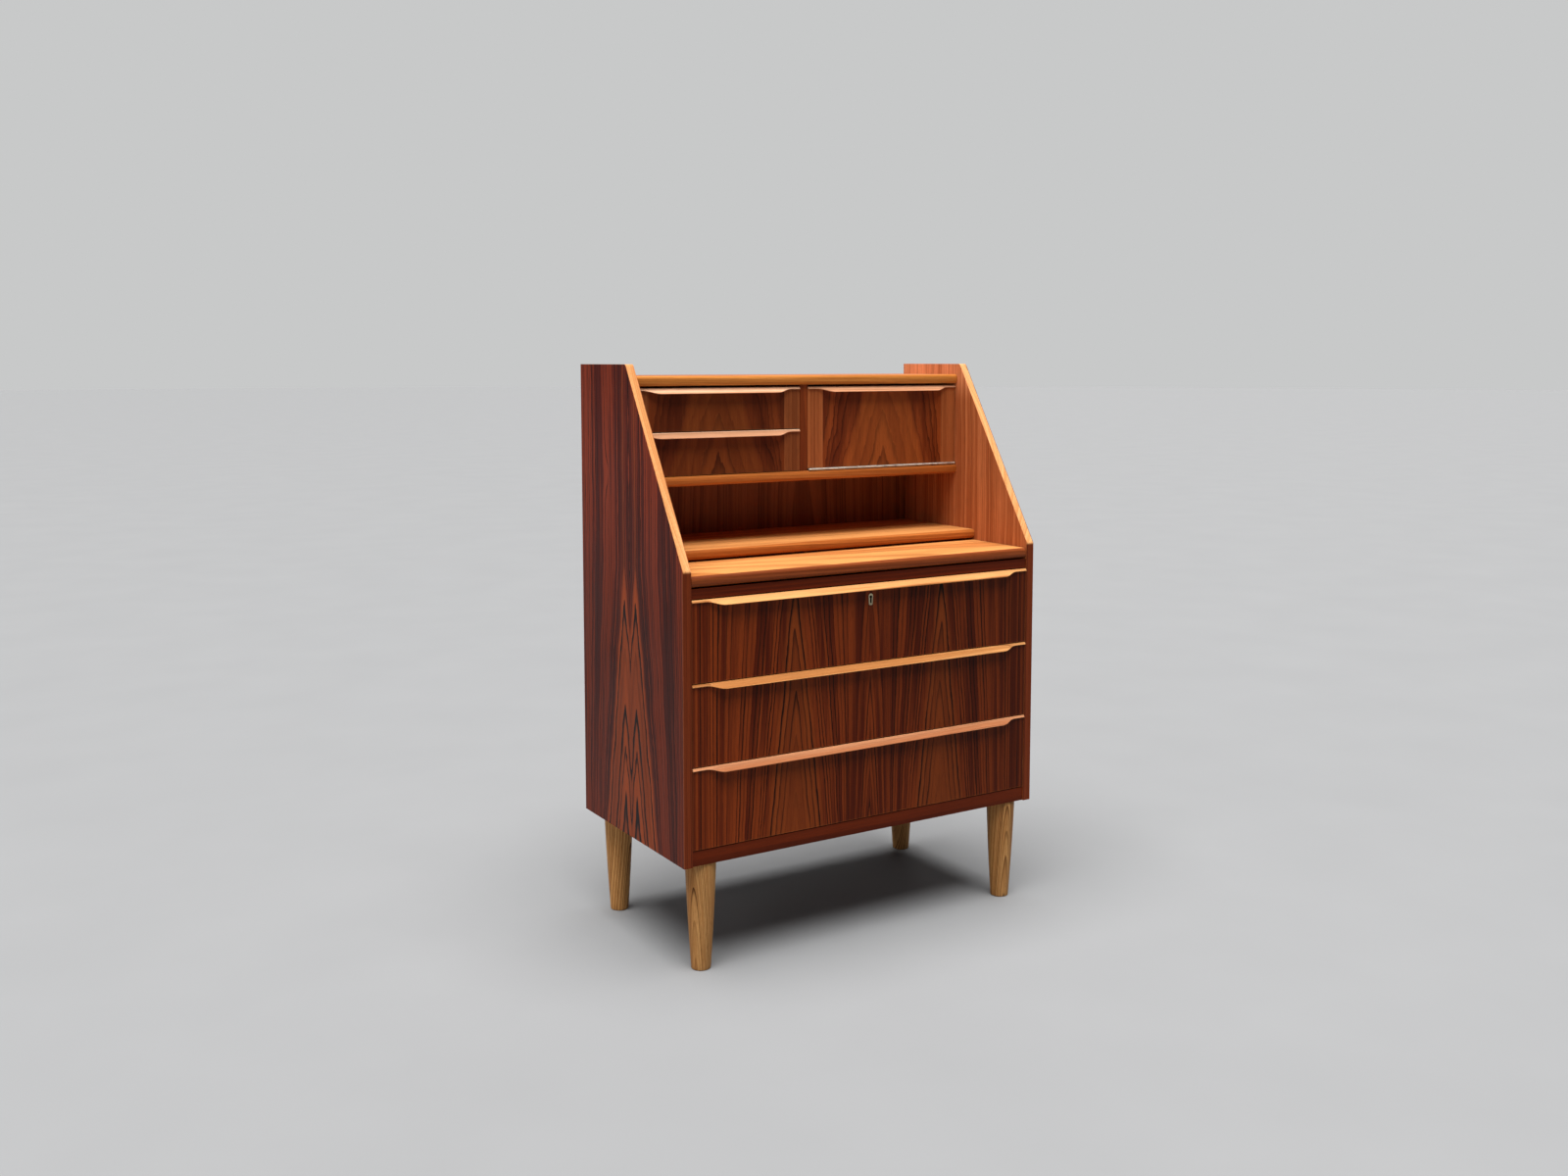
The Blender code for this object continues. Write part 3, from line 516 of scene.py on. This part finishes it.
def side_wood(name, seed):
    """Book-matched veneer outside, plainer and paler veneer inside, solid lipping on the edges."""
    g = Graph(name)
    off = g.math("ABSOLUTE", g.sub(g.y, MIDDLE_Y))
    inward = g.sub(OUTER_X, g.math("ABSOLUTE", g.x))
    count, share = flame_rings(g, off, g.z, seed, **SIDE_FLAMES)
    eye_y = g.sub(g.y, MIDDLE_Y + CAT_EYE[0])
    eye_z = g.mul(g.sub(g.z, CAT_EYE[1]), 0.30)
    eye = g.math("SQRT", g.add(g.mul(eye_y, eye_y), g.mul(eye_z, eye_z)))
    count = g.add(count, g.mul(g.math("EXPONENT", g.mul(eye, -75.0)), 3.2))
    outside, height, streak = grain(
        g, g.y, inward, g.z, SIDE_TEAK, count, seed, 1.35, share, contrast=2.0
    )
    # painted light: the outer faces get paler and yellower towards the top, standing in for the stronger
    # light up there
    high = g.remap(g.z, 0.55, 0.95)
    painted_height_light = g.xyz(*(g.add(1.0, g.mul(high, rise)) for rise in (0.60, 0.75, 1.5)))
    outside = g.blend(1.0, outside, painted_height_light, mode="MULTIPLY")

    inner_count = straight_rings(
        g, g.y, inward, g.z, seed + 8, centre=0.5, depth=0.05, lean=0.0, ring=0.0065, wander=0.03
    )
    inside, _, _ = grain(g, g.y, inward, g.z, INNER_TEAK, inner_count, seed + 8, 0.55)
    # painted highlight: the inner faces turn paler and pinker up to the top board's top
    highlight_share = g.remap(g.z, TOP_BOARD_TOP - INNER_HIGHLIGHT_HEIGHT, TOP_BOARD_TOP)
    painted_highlight = g.xyz(*(g.add(1.0, g.mul(highlight_share, rise)) for rise in (0.75, 1.1, 1.6)))
    inside = g.blend(1.0, inside, painted_highlight, mode="MULTIPLY")
    edge_count = straight_rings(
        g, g.x, g.y, g.z, seed + 20, centre=0.30, depth=0.05, lean=0.0, ring=0.0042, wander=0.006
    )
    # the slanted lipping is a separate strip, made paler as painted light because it faces up; the
    # upright lipping stays dark
    low_edge, _, _ = grain(g, g.x, g.y, g.z, EDGE_TEAK, edge_count, seed, 0.5)
    slant_edge_painted_light, _, _ = grain(g, g.x, g.y, g.z, SLANT_TEAK_PAINTED_LIGHT, edge_count, seed, 0.4)
    slanted = g.remap(g.z, SLANT_LOW - 0.004, SLANT_LOW + 0.002)
    ahead = g.remap(g.sub(BACK_Y, g.y), 0.0006, 0.0012)
    edge = g.blend(g.mul(slanted, ahead), low_edge, slant_edge_painted_light)

    inner_veneer = OUTER_X - INNER_X - VENEER
    behind_edge = g.remap(g.sub(g.y, FRONT_Y), 0.0008, 0.0014)
    in_face = g.mul(g.remap(inward, inner_veneer, inner_veneer + 0.0001), behind_edge)
    out_face = g.remap(inward, VENEER, VENEER + 0.0001, 1.0, 0.0)
    colour = g.blend(in_face, g.blend(out_face, edge, outside), inside)
    # painted highlight: a paler strip on the outer face along its front edge, where the arris catches the
    # light
    arris_highlight = g.remap(g.sub(g.y, FRONT_Y), 0.0010, 0.0026, 0.30, 0.0)
    colour = g.blend(g.mul(arris_highlight, out_face), colour, linear(SIDE_ARRIS_HIGHLIGHT))
    return coat(g, colour, height, streak, 0.42, 0.14)


def assign(obj, material):
    obj.data.materials.clear()
    obj.data.materials.append(material)


def bevel(obj, width, segments=3):
    modifier = obj.modifiers.new("soft_edges", "BEVEL")
    modifier.width = width
    modifier.segments = segments
    modifier.limit_method = "ANGLE"
    modifier.angle_limit = math.radians(28)
    modifier.harden_normals = False
    obj.data.shade_smooth()
    weighted = obj.modifiers.new("weighted", "WEIGHTED_NORMAL")
    weighted.keep_sharp = True


# ---- materials of the wooden parts ----
def dress_carcass():
    """Sides, boards, rails, back and divider."""
    for name, seed in (("side_left", 2.0), ("side_right", 31.0)):
        assign(nodes[name], side_wood(f"teak_{name}", seed))
        bevel(nodes[name], 0.0014)
    boards = {"top_board": 11.0, "upper_shelf": 12.0, "desk_shelf": 13.0, "writing_board": 14.0}
    for name, seed in boards.items():
        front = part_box(name)[0].y
        lipping = {"writing_board": BOARD_TEAK, "top_board": CROWN_TEAK}.get(name, NOSE_TEAK)
        face = INNER_TEAK if name == "top_board" else DESK_TEAK
        material = wood(
            f"teak_{name}",
            face,
            along="x",
            across="y",
            centre=0.05 * seed - 0.9,
            depth=0.04,
            lean=0.02,
            ring=0.0052,
            wander=0.04,
            seed=seed,
            lines=0.70,
            rough=0.40,
            contrast=1.5,
            front=(lipping, front + LIPPING),
        )
        assign(nodes[name], material)
        bevel(nodes[name], 0.0006, 2)
    rail = wood(
        "teak_rail",
        RAIL_TEAK,
        along="x",
        across="z",
        centre=0.2,
        depth=0.05,
        lean=0.0,
        ring=0.004,
        wander=0.008,
        seed=17.0,
        lines=0.5,
    )
    for name in ("front_rail", "bottom_panel"):
        assign(nodes[name], rail)
        bevel(nodes[name], 0.0006, 2)
    back = wood(
        "teak_back",
        BACK_TEAK,
        centre=0.11,
        depth=0.03 - BACK_Y,
        lean=0.05,
        ring=0.007,
        seed=21.0,
        lines=0.6,
    )
    assign(nodes["back_panel"], back)
    divider = wood("teak_divider", UPPER_TEAK, across="y", centre=0.3, seed=23.0, lines=0.6)
    assign(nodes["upper_divider"], divider)
    bevel(nodes["upper_divider"], 0.0006, 2)


def pale_wood(name, along, seed):
    """Beech whose grain runs along a drawer's wall or a runner."""
    return wood(
        name,
        BEECH,
        along=along,
        across="z",
        centre=0.9,
        depth=0.05,
        lean=0.0,
        ring=0.004,
        wander=0.02,
        seed=seed,
        lines=0.25,
        rough=0.5,
    )


def dress_insides():
    """Drawer boxes, runners and the dust panel."""
    ply = wood(
        "plywood",
        PLY,
        along="x",
        across="y",
        centre=-0.55,
        depth=0.05,
        lean=0.03,
        ring=0.006,
        wander=0.06,
        seed=25.0,
        lines=0.35,
        rough=0.55,
    )
    beech = pale_wood("beech", "y", 27.0)
    beech_across = pale_wood("beech_across", "x", 29.0)
    for name in nodes:
        if name == "dust_panel" or name.endswith("_floor"):
            assign(nodes[name], ply)
        elif "_side_" in name or "runner" in name:
            assign(nodes[name], beech)
            bevel(nodes[name], 0.0005, 2)
        elif name.endswith("_back") and "drawer" in name:
            assign(nodes[name], beech_across)
            bevel(nodes[name], 0.0005, 2)


def dress_fronts():
    """Drawer fronts, the flap and their finger lips."""
    shades = {"small_drawer_upper_front": 0.66, "small_drawer_lower_front": 0.62, "flap_panel": 1.0}
    for name in nodes:
        if name in shades:
            assign(nodes[name], upper_front_wood(f"teak_{name}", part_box(name), shades[name]))
        elif name.startswith("drawer") and name.endswith("_front"):
            assign(nodes[name], wide_front_wood(f"teak_{name}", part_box(name)))
        else:
            continue
        bevel(nodes[name], 0.0007, 2)
    # the lips of the small drawers and the flap get the tone with the painted highlight
    lip_teaks = {
        "drawer_top_lip": SOLID_TEAK,
        "drawer_middle_lip": SOLID_TEAK,
        "drawer_bottom_lip": PINK_TEAK,
    }
    for k, name in enumerate(n for n in nodes if n.endswith("_lip")):
        lip = wood(
            f"teak_{name}",
            lip_teaks.get(name, LIP_HIGHLIGHT_TEAK),
            along="x",
            across="y",
            centre=0.4,
            depth=0.05,
            lean=0.0,
            ring=0.0035,
            wander=0.006,
            seed=51.0 + k,
            lines=0.85,
            rough=0.40,
            contrast=2.4,
        )
        assign(nodes[name], lip)
        bevel(nodes[name], 0.0006, 2)


# ---- legs: turned finer than in the CAD ----
def leg_radius(share, top):
    """A straight taper with a slight belly, as it comes off the lathe."""
    belly = LEG_BELLY * math.sin(math.pi * share)
    return min(LEG_FOOT_RADIUS + (top - LEG_FOOT_RADIUS) * share + belly, top)


def turned_leg(name, node_name):
    """A leg as a fine lathe turning: eased foot, tapered shaft, eased shoulder and tenon."""
    low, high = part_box(node_name)
    middle = (low + high) / 2
    top = (high.x - low.x) / 2
    shoulder = LEG_TOP - LEG_GAP
    quarters = [math.pi / 2 * k / 4 for k in range(5)]
    rings = [(LEG_CORE, low.z), (LEG_FOOT_RADIUS - FOOT_EASE, low.z)]
    for angle in quarters[1:]:
        radius = LEG_FOOT_RADIUS - FOOT_EASE * (1 - math.sin(angle))
        rings.append((radius, low.z + FOOT_EASE * (1 - math.cos(angle))))
    for k in range(1, LEG_ROWS):
        share = k / LEG_ROWS
        rings.append((leg_radius(share, top), FOOT_EASE + (shoulder - 2 * FOOT_EASE) * share))
    for angle in quarters:
        radius = top - SHOULDER_EASE[0] * (1 - math.cos(angle))
        rings.append((radius, shoulder - SHOULDER_EASE[1] * (1 - math.sin(angle))))
    rings += [(LEG_TENON_RADIUS, shoulder), (LEG_TENON_RADIUS, high.z), (LEG_CORE, high.z)]
    turns = [2 * math.pi * k / LEG_SIDES for k in range(LEG_SIDES)]
    bm = bmesh.new()
    loops = []
    for radius, z in rings:
        places = [(middle.x + radius * math.cos(t), middle.y + radius * math.sin(t), z) for t in turns]
        loops.append([bm.verts.new(place) for place in places])
    join_rings(bm, loops)
    leg = piece(name, bm, 30)
    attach(leg, "cabinet")
    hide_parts(node_name)
    return leg, middle


def build_legs():
    """Oak, cut so that each leg shows its rings as long ovals."""
    for k, where in enumerate(("front_left", "front_right", "back_left", "back_right")):
        leg, middle = turned_leg(f"turned_leg_{where}", f"leg_{where}")
        g = Graph(f"oak_{where}")
        turn = math.radians(-65 + 50 * k)
        x, y = g.sub(g.x, middle.x), g.sub(g.y, middle.y)
        across = g.add(g.mul(x, math.cos(turn)), g.mul(y, math.sin(turn)))
        through = g.add(g.mul(x, -math.sin(turn)), g.mul(y, math.cos(turn)))
        heart = 0.034 + 0.006 * k
        seed = 61.0 + k
        count = straight_rings(
            g, across, through, g.z, seed, centre=0.004, depth=heart, lean=0.10, ring=0.0028, wander=0.022
        )
        colour, height, streak = grain(g, across, through, g.z, OAK, count, seed, 1.25)
        fleck_noise = g.noise(g.xyz(g.mul(across, 500), g.mul(through, 500), g.mul(g.z, 40)), 1.0)
        fleck = g.remap(fleck_noise, 0.66, 0.74)
        colour = g.blend(g.mul(fleck, 0.35), colour, OAK["line"])
        # painted light: the back-left leg stands in the body's shade and is made lighter as if lit
        if where == "back_left":
            colour = g.blend(1.0, colour, (1.22, 1.22, 1.22, 1.0), mode="MULTIPLY")
        assign(leg, coat(g, colour, height, streak, 0.50, 0.20))


# ---- screws ----
def add_screw(bm, centre, radius, normal):
    """A slotted head that stands a little proud of the face it is in."""
    turn = Vector((0, 0, 1)).rotation_difference(Vector(normal)).to_matrix()
    loops = []
    for share, rise in HEAD_RINGS:
        loop = []
        for k in range(SCREW_SIDES):
            t = 2 * math.pi * k / SCREW_SIDES
            lift = rise * radius * HEAD_RISE if rise > 0 else rise
            u, v = radius * share * math.cos(t), radius * share * math.sin(t)
            if abs(v) < radius * SLOT_HALF and rise > 0.1:
                lift -= radius * SLOT_DEPTH
            loop.append(bm.verts.new(Vector(centre) + turn @ Vector((u, v, lift))))
        loops.append(loop)
    join_rings(bm, loops)


def screws(name, places, radius, normal, body, material):
    """A group of screw heads as one piece."""
    bm = bmesh.new()
    for place in places:
        add_screw(bm, place, radius, normal)
    obj = piece(name, bm, 35)
    assign(obj, material)
    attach(obj, body)


def spread(low, high, count):
    """Evenly spaced places from low to high, both included."""
    return [low + (high - low) * k / (count - 1) for k in range(count)]


def build_screws():
    """Screws around the edge of the back panel and along both leaves of the flap's hinge."""
    steel = metal("screw_steel", (168, 164, 152), 0.38, 0.06)
    low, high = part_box("back_panel")
    edge = BACK_SCREW_EDGE
    rows = spread(low.z + edge, high.z - edge, BACK_SCREW_ROWS)
    columns = spread(low.x + edge, high.x - edge, BACK_SCREW_COLUMNS)
    places = [(x, high.y, z) for x in (columns[0], columns[-1]) for z in rows]
    places += [(x, high.y, z) for x in columns[1:-1] for z in (rows[0], rows[-1])]
    screws("back_panel_screws", places, BACK_SCREW_RADIUS, (0, 1, 0), "cabinet", steel)
    for leaf, body, name, up in (
        ("flap_hinge_leaf_fixed", "cabinet", "hinge_screws_fixed", 1),
        ("flap_hinge_leaf_moving", "flap", "hinge_screws_moving", -1),
    ):
        low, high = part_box(leaf)
        step = (high.x - low.x) / HINGE_SCREW_COUNT
        base = low.z if up > 0 else high.z
        z = base + up * (LEAF_THICK + HEAD_LIFT)
        y = high.y - HINGE_SCREW_EDGE
        places = [(low.x + step * (k + 0.5), y, z) for k in range(HINGE_SCREW_COUNT)]
        screws(name, places, HINGE_SCREW_RADIUS, (0, 0, up), body, steel)


# ---- metal parts ----
def dress_metal():
    nickel = metal("aged_nickel", (196, 182, 150), 0.34, 0.05, DRAWER_FACE_Y + 0.0004)
    steel = metal("lock_steel", (150, 148, 140), 0.42, 0.08)
    hinge = metal("hinge_steel", (226, 224, 216), 0.48, 0.06)
    assign(nodes["escutcheon"], nickel)
    for name in ("lock_case", "lock_bolt"):
        assign(nodes[name], steel)
    for name in ("flap_hinge_leaf_fixed", "flap_hinge_leaf_moving"):
        assign(nodes[name], hinge)


# ---- stage, light and camera ----
def build_stage():
    bm = bmesh.new()
    bmesh.ops.create_circle(bm, cap_ends=True, segments=64, radius=FLOOR_RADIUS)
    mesh = bpy.data.meshes.new("floor")
    bm.to_mesh(mesh)
    bm.free()
    floor = bpy.data.objects.new("floor", mesh)
    bpy.context.scene.collection.objects.link(floor)
    g = Graph("floor_paint")
    mottle = g.noise(g.place, 3.0, 0.5, 3.0)
    colour = g.blend(mottle, linear(FLOOR_COLOURS[0]), linear(FLOOR_COLOURS[1]))
    assign(floor, g.finish(colour, 0.75, specular=0.2))


def build_world():
    """A dim room for the light, with a pale backdrop where the camera looks past the floor."""
    world = bpy.data.worlds.new("studio")
    world.use_nodes = True
    tree = world.node_tree
    room = tree.nodes["Background"]
    room.inputs["Color"].default_value = ROOM_COLOUR
    room.inputs["Strength"].default_value = ROOM_STRENGTH
    backdrop = tree.nodes.new("ShaderNodeBackground")
    backdrop.inputs["Color"].default_value = linear(BACKDROP_COLOUR)
    path = tree.nodes.new("ShaderNodeLightPath")
    pick = tree.nodes.new("ShaderNodeMixShader")
    tree.links.new(path.outputs["Is Camera Ray"], pick.inputs[0])
    tree.links.new(room.outputs[0], pick.inputs[1])
    tree.links.new(backdrop.outputs[0], pick.inputs[2])
    tree.links.new(pick.outputs[0], tree.nodes["World Output"].inputs["Surface"])
    bpy.context.scene.world = world


def build_lights():
    """Broad light from above, a little in front of the desk, and weak fills at the sides."""
    for name, power, angle, tilt, turn, colour in LIGHTS:
        light = bpy.data.lights.new(name, "SUN")
        light.energy = power
        light.angle = math.radians(angle)
        light.color = colour
        obj = bpy.data.objects.new(name, light)
        obj.rotation_euler = (math.radians(tilt), 0, math.radians(turn))
        bpy.context.scene.collection.objects.link(obj)


def build_camera():
    data = bpy.data.cameras.new("camera")
    data.lens = CAMERA_LENS
    data.sensor_width = 36
    data.shift_y = CAMERA_SHIFT
    camera = bpy.data.objects.new("camera", data)
    camera.location = CAMERA_PLACE
    camera.rotation_euler = (math.radians(90 - CAMERA_PITCH), 0, -math.radians(CAMERA_YAW))
    bpy.context.scene.collection.objects.link(camera)
    bpy.context.scene.camera = camera
    bpy.context.scene.view_settings.view_transform = "Standard"


build_camera()
dress_carcass()
dress_insides()
dress_fronts()
build_legs()
dress_metal()
build_screws()
build_stage()
build_world()
build_lights()
